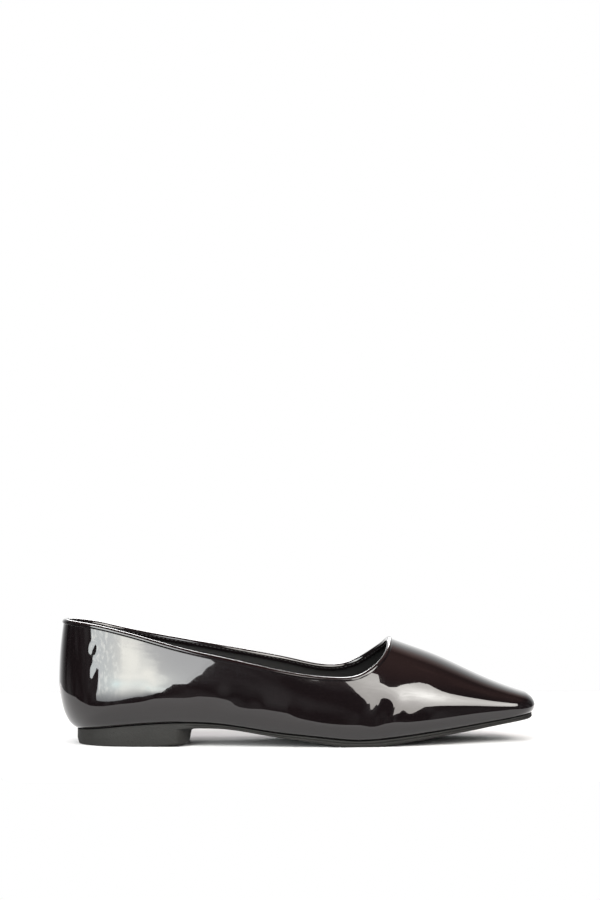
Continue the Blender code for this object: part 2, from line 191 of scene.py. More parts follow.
# Moulded heel: distance from the heel's back to its breast, the breast's slant and corners, the taper and
# rounding of its foot, where its foot starts to lift and how, how far its top sinks into the sole, the fillet
# under the sole, and its rows
HEEL_BREAST = 71 * MM
HEEL_BREAST_SLANT = 1.0 * MM
HEEL_CORNER = 7 * MM
HEEL_CORNER_SQUARENESS = 1.25
HEEL_TAPER = 0.6 * MM
HEEL_FOOT_ROUND = 0.9 * MM
HEEL_FLAT_TO = 44 * MM
HEEL_BREAST_LIFT = 1.9 * MM
HEEL_LIFT_CURVE = 1.5
HEEL_TOP_SINK = 1.2 * MM
HEEL_FILLET = 1.6 * MM
HEEL_CORNER_ROWS = 12
HEEL_ROW_GAP = 1 * MM
ARC_POINTS = 6

# Sock: its gaps to the wall at its top edge and at its foot, and its top edge's rounding
SOCK_GAP = 0.6 * MM
SOCK_FOOT_GAP = 0.8 * MM
SOCK_ROUND = 0.8 * MM

# Camera: where it stands, seen from the point that it was aimed at, and how it frames the shoe
CAMERA_TARGET = Vector((0, 0, 34 * MM))
CAMERA_DISTANCE = 1.4
CAMERA_ELEVATION = math.radians(4.6)
CAMERA_YAW = math.radians(-2.2)
CAMERA_AIM_UP = 125.5 * MM
CAMERA_AIM_RIGHT = 1.24 * MM
FRAME_HEIGHT_AT_SHOE = 0.495
SENSOR = 36.0

# Studio: the table top's corners, which end it where its mirrored edge lies on the patent
FLOOR_CORNERS = (
    (-0.34, 0.3), (-0.30, -0.05), (-0.19, -0.09), (-0.14, -0.18), (0.26, -0.19), (0.21, -0.07), (0.34, 0.3),
)

# Softboxes' distance from the shoe, then their cloth: the size of its folds, how far they sway a glow and a
# dull side, the height at which a dull side's bearings hold, how strongly, between which folds and in what
# tint crumpled cloth shines, and the heights between which its hem is dim, with the hem's tint
SOFTBOX_DISTANCE = 2.5
CLOTH_FOLD = 0.12
FOLD_SWAY = 1.6
DULL_SWAY = 0.12
DULL_HEIGHT = 15
CRUMPLE_SHARE = 0.7
CRUMPLE_LOW = 0.0
CRUMPLE_HIGH = 0.15
CRUMPLE_TINT = (0.94, 0.945, 0.90)
HEM_LOW = -4.6
HEM_HIGH = 2.5
HEM_TINT = (0.20, 0.21, 0.215)

# Softboxes, in degrees as seen from the shoe: bearings to the right of the camera's side and heights above
# the table. Each has its corners, its radiance, its cloth's tint and its glow, then any streaks over the
# cloth, a side where the cloth is dull, whether it is crumpled, and whether it shows in the patent. A glow or
# streak is its middle's bearing and height, how far it reaches across and up, and its tint. A dull side is
# the bearings where it starts and is full, how much it leans with the height, and its tint.
SOFTBOXES = {
    "left_softbox": {
        "corners": (
            (-44, -4.2), (-17.5, -4), (-14, -1.2), (-13.2, 4), (-12, 7), (-9, 8), (-4.9, 13.3), (-0.2, 23),
            (1, 50), (-52, 50), (-48, 20),
        ),
        "radiance": 17.0,
        "cloth": (0.56, 0.59, 0.595),
        "glow": (-18, 14, 9, 40, (0.70, 0.705, 0.68)),
        "streaks": (
            (-21, 4, 5, 1.7, (0.80, 0.93, 0.92)),
            (-18.5, 7.5, 3, 1.1, (0.95, 0.95, 0.90)),
            (-17.9, 16, 0.5, 14, (1.0, 0.99, 0.92)),
            (-16.3, 9, 0.9, 3, (1.0, 0.99, 0.92)),
        ),
        "dull_side": (-17.2, -14.4, 0.19, (0.455, 0.46, 0.465)),
        "crumpled": True,
    },
    "right_softbox": {
        "corners": (
            (14, 32), (14.5, 27), (17.2, 18.5), (19.5, 18.5), (19.5, 7), (28, 7), (34, 18), (40, 19.5),
            (48, 19.5), (53, 24), (58, 35), (60.5, 39.5), (57, 42.5), (56, 45), (57, 48), (60, 53),
            (57, 54), (48, 51.2), (41, 49), (34, 45), (28.5, 43), (28, 47), (31, 50.5), (37, 56),
            (28, 58), (17, 50),
        ),
        "radiance": 20.0,
        "cloth": (0.30, 0.285, 0.27),
        "glow": (41, 36, 8.2, 8.2, (0.97, 0.95, 0.91)),
    },
    "back_softbox": {
        "corners": ((172, 18), (192, 18), (192, 50), (172, 50)),
        "radiance": 12.0,
        "cloth": (0.9, 0.9, 0.9),
        "glow": (182, 34, 23, 23, (1.0, 1.0, 1.0)),
    },
    "top_softbox": {
        "corners": ((-45, 70), (45, 70), (135, 70), (-135, 70)),
        "radiance": 6.0,
        "cloth": (0.9, 0.9, 0.9),
        "glow": (0, 90, 23, 23, (1.0, 1.0, 1.0)),
        "mirrored": False,
    },
}

# Room: its backdrop by a direction's part to the back, its ceiling by the part upwards and its faint clouds
# by their own height, each with where it starts and is full and its brightness at both; the clouds' stretch,
# scale, detail and roughness; and between which parts upwards the room turns warm, with its tint there
BACKDROP = (0.42, 0.92, 0.02, 1.0)
CEILING = (0.70, 0.92, 0.0, 0.28)
CLOUDS = (0.42, 0.78, 0.02, 0.34)
CLOUD_STRETCH = (2.6, 1, 1)
CLOUD_SCALE = 3.2
CLOUD_DETAIL = 1.0
CLOUD_ROUGHNESS = 0.4
WARM_CEILING = (0.55, 0.80)
WARM_TINT = (1, 0.56, 0.48)
WHITE = (1, 1, 1)


def smooth_curve(places, values):
    """A natural cubic spline through a table's rows, as a function of arrays of places."""
    x = np.asarray(places, float)
    y = np.asarray(values, float)
    gap = np.diff(x)
    inner = np.diag(2 * (gap[:-1] + gap[1:])) + np.diag(gap[1:-1], 1) + np.diag(gap[1:-1], -1)
    bend = np.zeros(len(x))
    bend[1:-1] = np.linalg.solve(inner, 6 * np.diff(np.diff(y) / gap))

    def at(place):
        place = np.asarray(place, float)
        i = np.clip(np.searchsorted(x, place) - 1, 0, len(gap) - 1)
        ahead = (place - x[i]) / gap[i]
        behind = 1 - ahead
        sag = ((behind**3 - behind) * bend[i] + (ahead**3 - ahead) * bend[i + 1]) * gap[i] ** 2 / 6
        return behind * y[i] + ahead * y[i + 1] + sag

    return at


def table_curves(columns, rows, scales):
    """Each column of a table as a smooth curve over the stations, in real sizes."""
    table = dict(zip(columns, np.array(rows, float).T))
    stations = table.pop("station") * LENGTH / 100
    return {name: smooth_curve(stations, values * scales[name]) for name, values in table.items()}


WIDTH_SHARE = BALL_WIDTH / 100
INSTEP_SHARE = INSTEP_HEIGHT / 100
LAST = table_curves(LAST_COLUMNS, LAST_ROWS, {
    "feather": HEEL_HEIGHT / 100, "lateral_foot": WIDTH_SHARE, "medial_foot": WIDTH_SHARE,
    "lateral_side": WIDTH_SHARE, "medial_side": WIDTH_SHARE, "swell": INSTEP_SHARE, "ridge": INSTEP_SHARE,
    "shift": WIDTH_SHARE, "crown": 1, "edge": MM,
})


def half_widths(station, side):
    """The signed half widths of the foot and of the widest point, on one side."""
    name = "lateral" if side == LATERAL else "medial"
    return side * LAST[name + "_foot"](station), side * LAST[name + "_side"](station)


def ridge_height(station):
    """The last's top line, rounded down into the nose at the toe's tip."""
    nose = LAST["feather"](LENGTH) + LAST["swell"](LENGTH)
    into_nose = np.clip((station - (LENGTH - NOSE_ROUND)) / NOSE_ROUND, 0, 1)
    round_off = (1 - into_nose**NOSE_SQUARENESS) ** (1 / NOSE_SQUARENESS)
    return nose + (LAST["ridge"](station) - nose) * round_off


def last_surface(station, level, side):
    """Points of the last: level -1 is the feather line, 0 the widest point of the wall and 1 the ridge."""
    station = np.asarray(station, float)
    level = np.asarray(level, float)
    tuck = np.sin(QUARTER_TURN * (1 + np.minimum(level, 0)))
    drop = np.cos(QUARTER_TURN * (1 + np.minimum(level, 0)))
    climb = np.sin(QUARTER_TURN * np.maximum(level, 0))
    keep = np.cos(QUARTER_TURN * np.maximum(level, 0)) ** (2 * LAST["crown"](station))

    to_back = np.clip(1 - station / HEEL_ROUND, 0, 1)
    to_tip = np.clip((station - (LENGTH - TOE_ROUND)) / TOE_ROUND, 0, 1)
    narrow = (1 - to_back**HEEL_SQUARENESS) ** (1 / HEEL_SQUARENESS)
    narrow = narrow * (1 - to_tip**TOE_SQUARENESS) ** (1 / TOE_SQUARENESS)

    foot, widest = half_widths(station, side)
    shift = LAST["shift"](station)
    y = shift + (foot + (widest - foot) * tuck - shift) * keep * narrow

    feather = LAST["feather"](station)
    middle = feather + LAST["swell"](station)
    z = middle - LAST["swell"](station) * drop + (ridge_height(station) - middle) * climb

    back_reach = BACK_TUCK * (1 - tuck) + BACK_LEAN * HEEL_ROUND * (1 - keep)
    x = station + back_reach * to_back - TOE_TUCK * (1 - tuck) * to_tip
    return np.stack(np.broadcast_arrays(x, y, z), axis=-1)


def collar_curve(side):
    """The upper's cut edge on one side as stations and heights, dense, under the binding's fold."""
    table = dict(zip(COLLAR_COLUMNS, np.array(COLLAR_ROWS, float).T))
    station = table["station"] * LENGTH / 100
    height = table["lateral" if side == LATERAL else "medial"] * BACK_HEIGHT / 100 - BINDING_RISE
    height[-1] = ridge_height(station[-1])
    run = np.concatenate([[0], np.cumsum(np.hypot(np.diff(station), np.diff(height)))])
    dense = np.linspace(0, run[-1], COLLAR_SAMPLES)
    return smooth_curve(run, station)(dense), smooth_curve(run, height)(dense)


def collar_level(station, side):
    """The level at which the collar crosses the wall at a station."""
    height = np.interp(station, *collar_curve(side))
    middle = LAST["feather"](station) + LAST["swell"](station)
    climb = (height - middle) / (ridge_height(station) - middle)
    return np.arcsin(np.clip(climb, 0, 1)) / QUARTER_TURN


def top_stations():
    """The stations of the wall's lines at their tops: heel fan, collar to the throat, then the ridge."""
    fan = np.linspace(0, QUARTER_TURN, HEEL_ROWS, endpoint=False)
    heel = HEEL_ROUND * (1 - np.cos(fan) ** (2 / HEEL_SQUARENESS))
    station = collar_curve(LATERAL)[0]
    station = station[station > HEEL_ROUND]
    collar = last_surface(station, collar_level(station, LATERAL), LATERAL)
    run = np.concatenate([[0], np.cumsum(np.linalg.norm(np.diff(collar, axis=0), axis=1))])
    side = np.interp(run[-1] * SIDE_SHARES, run, station)
    toe_start = LENGTH - TOE_ROUND
    vamp = np.linspace(side[-1], toe_start, VAMP_ROWS + 1)[1:]
    turn = np.linspace(0, QUARTER_TURN, TOE_ROWS + 1)[1:]
    toe = toe_start + TOE_ROUND * np.sin(turn) ** (2 / TOE_SQUARENESS)
    return np.concatenate([heel, side, vamp, toe])


def foot_stations():
    """The same lines' stations at the feather line, which lead the tops round the throat."""
    foot = TOP.copy()
    throat = TOP[COLLAR_ROW_COUNT - 1] + THROAT_LEAD
    toe_start = LENGTH - TOE_ROUND
    foot[HEEL_ROWS:COLLAR_ROW_COUNT] = HEEL_ROUND + (throat - HEEL_ROUND) * SIDE_SHARES
    foot[COLLAR_ROW_COUNT:-TOE_ROWS] = np.linspace(throat, toe_start, VAMP_ROWS + 1)[1:]
    return foot


COLLAR_ROW_COUNT = HEEL_ROWS + SIDE_ROWS
SIDE_SHARES = 1 - np.linspace(1, 0, SIDE_ROWS) ** THROAT_CROWDING
TOP = top_stations()
FOOT = foot_stations()
WIDEST = {side: last_surface(FOOT, 0, side)[:, 1] for side in (LATERAL, MEDIAL)}
TO_FRAME = Vector((-LENGTH / 2, -(WIDEST[LATERAL].min() + WIDEST[MEDIAL].max()) / 2, 0))


def feather_line(outset=0.0):
    """The feather line's rows as plan points on the lateral and the medial side, moved out by a distance."""
    sides = {side: last_surface(FOOT, -1, side)[:, :2] for side in (LATERAL, MEDIAL)}
    loop = np.concatenate([sides[LATERAL], sides[MEDIAL][-2:0:-1]])
    along = np.roll(loop, -1, axis=0) - np.roll(loop, 1, axis=0)
    along /= np.linalg.norm(along, axis=1, keepdims=True)
    outward = np.stack([along[:, 1], -along[:, 0]], axis=1)
    count = len(FOOT)
    outset = np.broadcast_to(outset, count)
    reach = np.concatenate([outset, outset[-2:0:-1]])
    moved = loop + outward * reach[:, None]
    medial = np.concatenate([moved[:1], moved[count:][::-1], moved[count - 1:count]])
    return {LATERAL: moved[:count], MEDIAL: medial}


def along_feather(column, x):
    """A column of the last's table at places along the feather line, by their real x."""
    return np.interp(x, last_surface(FOOT, -1, LATERAL)[:, 0], LAST[column](FOOT))


# Mesh helpers

def lay_sheet(bm, points):
    """A grid of quads in the bmesh, laid through an array of rows and columns of points."""
    rows, columns = points.shape[:2]
    half = 0.5
    sheet = bmesh.ops.create_grid(bm, x_segments=rows - 1, y_segments=columns - 1, size=half)
    for vert in sheet["verts"]:
        row = round((vert.co.x + half) * (rows - 1))
        column = round((vert.co.y + half) * (columns - 1))
        vert.co = points[row, column]


def close_seams(bm):
    """Welds what meets and turns the faces outwards."""
    bmesh.ops.remove_doubles(bm, verts=bm.verts, dist=WELD)
    bmesh.ops.holes_fill(bm, edges=[edge for edge in bm.edges if edge.is_boundary])
    bmesh.ops.recalc_face_normals(bm, faces=bm.faces)


def mesh_from(bm, name):
    """A mesh from a finished bmesh, which is freed."""
    mesh = bpy.data.meshes.new(name)
    bm.to_mesh(mesh)
    bm.free()
    return mesh


def add_object(name, data):
    """An object in the scene, at the origin, from its mesh or camera data."""
    new_object = bpy.data.objects.new(name, data)
    bpy.context.scene.collection.objects.link(new_object)
    return new_object


def add_piece(name, bm, finishes, node=None):
    """A piece of the shoe from a finished bmesh in the last's frame, riding on the shoe's one body."""
    bmesh.ops.translate(bm, vec=TO_FRAME, verts=bm.verts)
    mesh = mesh_from(bm, name)
    mesh.shade_smooth()
    for finish in finishes:
        mesh.materials.append(finish)
    piece = add_object(name, mesh)
    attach(piece, "root")
    if node:
        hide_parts(node)
    return piece


# Upper

def wall_points(side):
    """One side's wall as rows of points: the turned-in margin, the tuck, then the wall to collar or ridge."""
    margin = []
    for share in np.linspace(1, 0, MARGIN_COLUMNS, endpoint=False):
        plan = feather_line(-LASTING_MARGIN * share)[side]
        margin.append(np.column_stack([plan, along_feather("feather", plan[:, 0])]))
    top_level = np.ones(len(TOP))
    top_level[:COLLAR_ROW_COUNT - 1] = collar_level(TOP[:COLLAR_ROW_COUNT - 1], side)
    low = np.linspace(-1, 0, TUCK_COLUMNS, endpoint=False)
    up = np.linspace(0, 1, WALL_COLUMNS + 1)
    station = np.concatenate([np.tile(FOOT, (TUCK_COLUMNS, 1)), FOOT + (TOP - FOOT) * up[:, None] ** 2])
    level = np.concatenate([np.tile(low[:, None], len(TOP)), top_level * up[:, None]])
    wall = last_surface(station, level, side)
    return np.concatenate([margin, wall]).transpose(1, 0, 2)


def upper_skin():
    """The upper's outer surface as a bmesh, open at the collar and under the foot."""
    bm = bmesh.new()
    for side in (LATERAL, MEDIAL):
        lay_sheet(bm, wall_points(side))
    bmesh.ops.remove_doubles(bm, verts=bm.verts, dist=WELD)
    bmesh.ops.recalc_face_normals(bm, faces=bm.faces)
    return bm


def crease_relief(places):
    """How far each place of the wall is pushed out by the creases, in metres."""
    push = np.zeros(len(places))
    for row in CREASE_ROWS:
        crease = dict(zip(CREASE_COLUMNS, row))
        start = np.array([crease["start"] * LENGTH, crease["start_height"] * BACK_HEIGHT]) / 100
        end = np.array([crease["end"] * LENGTH, crease["end_height"] * BACK_HEIGHT]) / 100
        offset = places[:, (0, 2)] - start
        run = end - start
        share = np.clip(offset @ run / (run @ run), 0, 1)
        away = np.linalg.norm(offset - share[:, None] * run, axis=1) / (crease["half_width"] * MM)
        on_side = np.clip(places[:, 1] * crease["side"] / CREASE_FADE, 0, 1)
        push += crease["depth"] * MM * np.exp(-away**2) * on_side
    return push


def ripple_relief(place):
    """How far one place of the wall is pushed out by the ripples, in metres."""
    push = 0.0
    for row in RIPPLE_ROWS:
        ripple = dict(zip(RIPPLE_COLUMNS, row))
        push += ripple["height"] * MM * noise.noise(place / (ripple["apart"] * MM))
    return push


def make_upper():
    """The patent upper with its lining as one thick wall, and the collar's frames for the binding."""
    bm = upper_skin()
    bm.normal_update()
    frames = collar_frames(bm)
    places = np.array([vert.co for vert in bm.verts])
    for vert, push in zip(bm.verts, crease_relief(places)):
        vert.co += vert.normal * (push + ripple_relief(vert.co))
    upper = add_piece("upper_patent", bm, [patent_finish(), lining_finish()], "upper")
    wall = upper.modifiers.new("wall", "SOLIDIFY")
    wall.thickness = UPPER_WALL
    wall.offset = -1
    wall.use_even_offset = True
    wall.material_offset = 1
    wall.material_offset_rim = 1
    return frames


# Binding

def collar_frames(bm):
    """Round the collar's loop: each vertex's place, outward normal, way up out of the wall and way along."""
    open_edge = [edge for edge in bm.edges if edge.is_boundary]
    collar_edge = [edge for edge in open_edge if min(vert.co.z for vert in edge.verts) > COLLAR_ABOVE]
    ahead = {}
    for edge in collar_edge:
        for vert in edge.verts:
            ahead.setdefault(vert, []).append(edge.other_vert(vert))
    start = min(ahead, key=lambda vert: vert.co.x)
    loop = [start, min(ahead[start], key=lambda vert: vert.co.y)]
    while len(loop) < len(ahead):
        loop.append(next(vert for vert in ahead[loop[-1]] if vert is not loop[-2]))
    frames = []
    for i, vert in enumerate(loop):
        along = (loop[(i + 1) % len(loop)].co - loop[i - 1].co).normalized()
        up = vert.normal.cross(along).normalized()
        if up.z < 0:
            up.negate()
        frames.append((vert.co.copy(), vert.normal.copy(), up, along))
    return frames


def round_lip(centre, start, end):
    """A lower edge's rounding as a run of section points, between two angles in quarter turns."""
    angles = np.linspace(start, end, LIP_POINTS) * QUARTER_TURN
    return np.array(centre) + LIP_ROUND * np.column_stack([np.cos(angles), np.sin(angles)])


def fold_arch(middle, top, reach, rise, start, end):
    """An arch over the collar's cut edge as section points, between two angles in quarter turns."""
    angles = np.linspace(start, end, FOLD_POINTS) * QUARTER_TURN
    return np.column_stack([middle + reach * np.cos(angles), top - rise * (1 - np.sin(angles))])


def binding_section():
    """The folded strip's section, as distances out of the wall's face and up from its cut edge."""
    outer = BINDING_RISE
    inner = -UPPER_WALL - BINDING_INNER_GAP - BINDING_STRIP
    middle, reach = (outer + inner) / 2, (outer - inner) / 2
    return np.concatenate([
        round_lip((outer - LIP_SKIVE - LIP_ROUND, LIP_ROUND - BINDING_DEPTH), -1, 0),
        fold_arch(middle, BINDING_RISE, reach, FOLD_RISE, 0, 2),
        round_lip((inner + LIP_ROUND, LIP_ROUND - BINDING_INNER_DEPTH), 2, 3),
        fold_arch(middle, SEAT_GAP, reach - BINDING_STRIP, FOLD_RISE - BINDING_STRIP, 2, 0),
    ])


def make_binding(frames):
    """The patent strip folded over the collar's cut edge, all the way round."""
    section = binding_section()
    section = np.concatenate([section, section[:1]])
    places, normals, ups, _ = (np.array(column) for column in zip(*frames))
    points = places[:, None] + normals[:, None] * section[:, :1] + ups[:, None] * section[:, 1:]
    bm = bmesh.new()
    lay_sheet(bm, np.concatenate([points, points[:1]]))
    close_seams(bm)
    add_piece("topline_binding_roll", bm, [binding_finish()], "topline_binding")


def make_stitches(frames):
    """The row of stitches that shows on the binding's inner face."""
    places, normals, ups, alongs = (np.array(column) for column in zip(*frames))
    line = places - normals * (UPPER_WALL + BINDING_INNER_GAP + BINDING_STRIP) - ups * STITCH_BELOW_EDGE
    loop = np.concatenate([line, line[:1]])
    run = np.concatenate([[0], np.cumsum(np.linalg.norm(np.diff(loop, axis=0), axis=1))])
    count = round(run[-1] / STITCH_PITCH)
    bm = bmesh.new()
    for place in (np.arange(count) + 0.5) * run[-1] / count:
        centre = [np.interp(place, run, loop[:, axis]) for axis in range(3)]
        near = np.searchsorted(run, place) - 1
        axes = Matrix((alongs[near], normals[near], ups[near])).transposed().to_4x4()
        size = Matrix.Diagonal((STITCH_LENGTH / 2, THREAD / 2, THREAD / 2, 1))
        bmesh.ops.create_uvsphere(bm, u_segments=THREAD_SIDES, v_segments=THREAD_RINGS, radius=1,
                                  matrix=Matrix.Translation(centre) @ axes @ size)
    add_piece("binding_stitches", bm, [thread_finish()])


# Sole and sock

def sole_top(x):
    """The sole's upper side, a gap below the upper's lower edge."""
    return along_feather("feather", x) - SEAT_GAP


def sole_bottom(x):
    """The sole's underside, with a flat tread where it would pass through the floor."""
    return np.maximum(sole_top(x) - along_feather("edge", x), 0)


def rings_round_foot(profile):
    """One closed ring for each row: down the lateral profile, across, up the medial one and across above."""
    sides = {LATERAL: [], MEDIAL: []}
    for outset, height in profile:
        for side, plan in feather_line(outset).items():
            sides[side].append(np.column_stack([plan, height(plan[:, 0])]))
    lateral, medial = sides[LATERAL], sides[MEDIAL]
    shares = np.linspace(0, 1, SOLE_ACROSS + 1)[1:-1]
    below = [lateral[-1] + (medial[-1] - lateral[-1]) * share for share in shares]
    above = [medial[0] + (lateral[0] - medial[0]) * share for share in shares]
    ring = [*lateral, *below, *medial[::-1], *above, lateral[0]]
    return np.array(ring).transpose(1, 0, 2)


def make_sole_plate():
    """The sole's plate as a bmesh: ribbed edge at the forefoot and waist, plain round the heel."""
    heel_share = np.clip((HEEL_BREAST + EDGE_CHANGE / 2 - FOOT) / EDGE_CHANGE, 0, 1)
    profile = []
    for outset, share in SOLE_EDGE:
        plain = HEEL_EDGE if 0 < share < 1 else outset * MM
        profile.append((outset * MM * (1 - heel_share) + plain * heel_share,
                        lambda x, share=share: sole_top(x) * (1 - share) + sole_bottom(x) * share))
    bm = bmesh.new()
    lay_sheet(bm, rings_round_foot(profile))
    close_seams(bm)
    return bm


def heel_stations():
    """The stations of the heel block's rows, the last ones round its front corners."""
    corner_start = HEEL_BREAST - HEEL_CORNER
    turn = np.linspace(0, QUARTER_TURN, HEEL_CORNER_ROWS)
    before = FOOT[FOOT < corner_start - HEEL_ROW_GAP]
    return np.concatenate([before, corner_start + HEEL_CORNER * np.sin(turn)])


def heel_levels(stations):
    """The heel block's levels from the top down: their outset, the breast's lean there and their heights."""
    past_flat = np.clip((stations - HEEL_FLAT_TO) / (HEEL_BREAST - HEEL_FLAT_TO), 0, 1)
    lift = HEEL_BREAST_LIFT * past_flat**HEEL_LIFT_CURVE
    sole_under = sole_bottom(stations)
    arc = np.linspace(0, QUARTER_TURN, ARC_POINTS)
    levels = [(0.0, HEEL_BREAST_SLANT + HEEL_FILLET, sole_top(stations) - HEEL_TOP_SINK)]
    for angle in arc:
        flare = HEEL_FILLET * (1 - math.sin(angle))
        levels.append((0.0, HEEL_BREAST_SLANT + flare, sole_under - HEEL_FILLET * (1 - math.cos(angle))))
    for angle in arc:
        inward = HEEL_FOOT_ROUND * (1 - math.cos(angle))
        levels.append((-HEEL_TAPER - inward, -inward, lift + HEEL_FOOT_ROUND * (1 - math.sin(angle))))
    return levels


def make_heel_block():
    """The heel's block as a bmesh: tapered, with cut breast corners, a lifted front and a fillet on top."""
    stations = heel_stations()
    to_breast = np.clip((stations - (HEEL_BREAST - HEEL_CORNER)) / HEEL_CORNER, 0, 1)
    corner = HEEL_CORNER * (1 - (1 - to_breast**HEEL_CORNER_SQUARENESS) ** (1 / HEEL_CORNER_SQUARENESS))
    sides = {LATERAL: [], MEDIAL: []}
    for outset, lean, height in heel_levels(stations):
        for side, plan in feather_line(HEEL_EDGE + outset).items():
            x = np.interp(stations, FOOT, plan[:, 0]) + lean * to_breast
            y = np.interp(stations, FOOT, plan[:, 1]) - side * corner
            sides[side].append(np.column_stack([x, y, height]))
    ring = [*sides[LATERAL], *sides[MEDIAL][::-1], sides[LATERAL][0]]
    bm = bmesh.new()
    lay_sheet(bm, np.array(ring).transpose(1, 0, 2))
    close_seams(bm)
    return bm


def make_outsole():
    """The unit sole: its plate joined with the moulded heel into one closed mesh."""
    heel_bm = make_heel_block()
    bmesh.ops.translate(heel_bm, vec=TO_FRAME, verts=heel_bm.verts)
    heel = add_object("heel_block", mesh_from(heel_bm, "heel_block"))
    sole = add_piece("outsole_unit", make_sole_plate(), [rubber_finish()], "outsole")
    join = sole.modifiers.new("moulded_heel", "BOOLEAN")
    join.operation = "UNION"
    join.object = heel
    bpy.context.view_layer.update()
    joined = bpy.data.meshes.new_from_object(sole.evaluated_get(bpy.context.evaluated_depsgraph_get()))
    sole.modifiers.remove(join)
    sole.data = joined
    sole.data.shade_smooth()
    sole.data.set_sharp_from_angle(angle=SHARP_EDGE)
    bpy.data.objects.remove(heel)


def make_sock():
    """The sock board on the turned-in margin, with a soft edge."""
    def seat(x):
        return along_feather("feather", x) + UPPER_WALL + SEAT_GAP

    def top(x):
        return seat(x) + INSOLE_THICKNESS

    profile = [(-SOCK_GAP - SOCK_ROUND, top)]
    for angle in np.linspace(QUARTER_TURN, 0, ARC_POINTS)[1:]:
        profile.append((-SOCK_GAP - SOCK_ROUND * (1 - math.cos(angle)),
                        lambda x, angle=angle: top(x) - SOCK_ROUND * (1 - math.sin(angle))))
    profile.append((-SOCK_FOOT_GAP, seat))
    bm = bmesh.new()
    lay_sheet(bm, rings_round_foot(profile))
    close_seams(bm)
    add_piece("insole_sock", bm, [sock_finish()], "insole")


# Finishes

class Value:
    """A node's output that takes part in Python's arithmetic: each operation adds a Math node."""

    def __init__(self, nodes, socket):
        self.nodes = nodes
        self.socket = socket

    def math(self, operation, first, second):
        return self.nodes.node("Math", {"operation": operation}, {0: first, 1: second})

    def __add__(self, other):
        return self.math("ADD", self, other)

    def __radd__(self, other):
        return self.math("ADD", other, self)

    def __sub__(self, other):
        return self.math("SUBTRACT", self, other)

    def __rsub__(self, other):
        return self.math("SUBTRACT", other, self)

    def __mul__(self, other):
        return self.math("MULTIPLY", self, other)

    def __rmul__(self, other):
        return self.math("MULTIPLY", other, self)

    def __truediv__(self, other):
        return self.math("DIVIDE", self, other)

    def __rtruediv__(self, other):
        return self.math("DIVIDE", other, self)

    def at_least(self, other):
        """The greater of this value and another."""
        return self.math("MAXIMUM", self, other)


class Nodes:
    """A node tree in the making: one method adds any node, and one sets or links a socket."""

    # The sockets of a Mix node that hold colours: two inputs and the output
    FIRST_COLOUR, SECOND_COLOUR, MIXED_COLOUR = 6, 7, 2

    def __init__(self, tree):
        self.tree = tree

    def node(self, kind, settings=None, inputs=None, output=0):
        """Adds a node by its type, its settings and its sockets' values or links, and gives one output."""
        node = self.tree.nodes.new("ShaderNode" + kind)
        for name, value in (settings or {}).items():
            setattr(node, name, value)
        for name, value in (inputs or {}).items():
            self.feed(node.inputs[name], value)
        return Value(self, node.outputs[output])

    def feed(self, socket, value):
        """Links a node's output to a socket, or sets the socket to a plain value."""
        if isinstance(value, Value):
            self.tree.links.new(value.socket, socket)
        else:
            socket.default_value = value

    def tint(self, share, first, second):
        """A colour between two, by a share. Each is a node's colour or three plain numbers."""
        ends = [colour if isinstance(colour, Value) else (*colour, 1) for colour in (first, second)]
        sockets = {"Factor": share, self.FIRST_COLOUR: ends[0], self.SECOND_COLOUR: ends[1]}
        return self.node("Mix", {"data_type": "RGBA"}, sockets, self.MIXED_COLOUR)

    def along(self, vector, axis):
        """A vector's part along an axis."""
        return self.node("VectorMath", {"operation": "DOT_PRODUCT"}, {0: vector, 1: axis}, "Value")

    def ramp(self, value, low, high, start=0.0, end=1.0, shape="SMOOTHSTEP"):
        """A step from a start to an end between two values, soft unless another shape is given."""
        sockets = {"Value": value, "From Min": low, "From Max": high, "To Min": start, "To Max": end}
        return self.node("MapRange", {"interpolation_type": shape}, sockets)


class Finish(Nodes):
    """A material in the making, with the shader that its nodes feed."""

    def __init__(self, name):
        self.material = bpy.data.materials.new(name)
        self.material.use_nodes = True
        super().__init__(self.material.node_tree)
        self.shader = self.tree.nodes["Principled BSDF"]
        self.place = self.node("TexCoord", output="Object")

    def set(self, **sockets):
        """Sets the shader's sockets, named with underscores for spaces, and gives the material."""
        for name, value in sockets.items():
            self.feed(self.shader.inputs[name.replace("_", " ")], value)
        return self.material

    def grain(self, size, detail=2.0, roughness=0.5):
        """Smooth noise from 0 to 1 whose bumps are about the given size apart."""
        sockets = {"Vector": self.place, "Scale": 1 / size, "Detail": detail, "Roughness": roughness}
        return self.node("TexNoise", None, sockets)

    def bump(self, height, depth):
        """A normal that follows a height from 0 to 1, as deep as given."""
        return self.node("Bump", None, {"Height": height, "Distance": depth, "Strength": 1.0})


def patent_finish():
    """Black patent: a dark warm base under a clear coat, with a faint orange-peel in the base."""
    finish = Finish("black_patent")
    cloud = finish.grain(24 * MM)
    peel = finish.grain(3.0 * MM)
    return finish.set(
        Base_Color=finish.tint(cloud, (0.0040, 0.0026, 0.0029), (0.0028, 0.0020, 0.0023)),
        Roughness=0.04 + 0.06 * cloud,
        Specular_IOR_Level=0.1,
        Coat_Weight=1.0,
        Coat_Roughness=0.012,
        Normal=finish.bump(peel, 0.02 * MM),
    )


def lining_finish():
    """Matte black lining with a fine grain."""
    finish = Finish("black_lining")
    grain = finish.grain(0.7 * MM, detail=3.0)
    return finish.set(
        Base_Color=finish.tint(grain, (0.005, 0.005, 0.005), (0.011, 0.0105, 0.0105)),
        Roughness=0.62 + 0.2 * grain,
        Specular_IOR_Level=0.25,
        Normal=finish.bump(grain, 0.12 * MM),
    )


